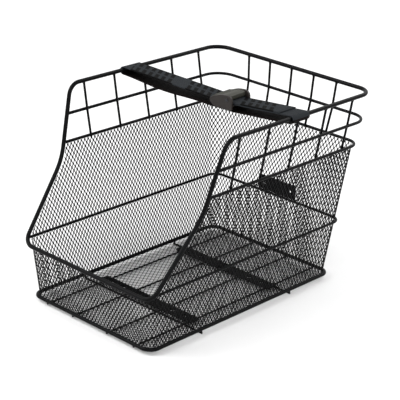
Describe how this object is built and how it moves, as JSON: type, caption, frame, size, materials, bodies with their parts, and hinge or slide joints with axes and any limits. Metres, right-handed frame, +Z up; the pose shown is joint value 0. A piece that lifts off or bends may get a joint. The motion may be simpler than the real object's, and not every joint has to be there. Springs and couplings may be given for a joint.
{
  "type": "bicycle rack basket",
  "caption": "Black wire and mesh basket for a bicycle's rear rack, with a low front, raised open rails and an adjustable webbing strap with a clamp buckle.",
  "frame": {"origin": "bottom centre of the whole basket, on the surface that it stands on", "axes": "+Z up, +Y towards the high rear wall, -Y towards the low front, +X to the right seen from the front's outside looking in"},
  "size_m": [0.31, 0.4139, 0.2978],
  "materials": {
    "wire_coating": "satin",
    "mesh_coating": "satin",
    "strip_coating": "satin",
    "webbing": "matte",
    "buckle_plastic": "matte",
    "lever_plastic": "matte",
    "pin_steel": "brushed"
  },
  "bodies": {
    "frame": {"bottom_rim": "wire_coating", "top_rim": "wire_coating", "middle_rail": "wire_coating", "mesh_rail": "wire_coating", "belt_wire": "wire_coating", "left_upright_1": "wire_coating", "left_upright_2": "wire_coating", "left_upright_3": "wire_coating", "left_upright_4": "wire_coating", "left_upright_5": "wire_coating", "right_upright_1": "wire_coating", "right_upright_2": "wire_coating", "right_upright_3": "wire_coating", "right_upright_4": "wire_coating", "right_upright_5": "wire_coating", "rear_upright_1": "wire_coating", "rear_upright_2": "wire_coating", "rear_upright_3": "wire_coating", "rear_upright_4": "wire_coating", "rear_upright_5": "wire_coating", "floor_wire_1": "wire_coating", "floor_wire_2": "wire_coating", "floor_wire_3": "wire_coating", "floor_wire_4": "wire_coating", "front_cross_wire": "wire_coating", "rear_cross_wire": "wire_coating", "front_mount_strip": "strip_coating", "rear_mount_strip": "strip_coating", "floor_mesh": "mesh_coating", "front_mesh": "mesh_coating", "left_mesh": "mesh_coating", "right_mesh": "mesh_coating", "rear_mesh": "mesh_coating", "reflector_plate": "strip_coating"},
    "strap": {"strap_webbing": "webbing", "buckle_body": "buckle_plastic", "buckle_pin": "pin_steel"},
    "lever": {"buckle_lever": "lever_plastic"}
  },
  "joints": [
    {"name": "strap_slide", "type": "slide", "parent": "frame", "child": "strap", "axis": [0, 1, 0], "range_m": [-0.003, 0.003]},
    {"name": "lever_hinge", "type": "hinge", "parent": "strap", "child": "lever", "pos_m": [0.04389, 0.03259, 0.292], "axis": [-0.0703, 0.9975, 0], "range_deg": [0, 80]}
  ]
}
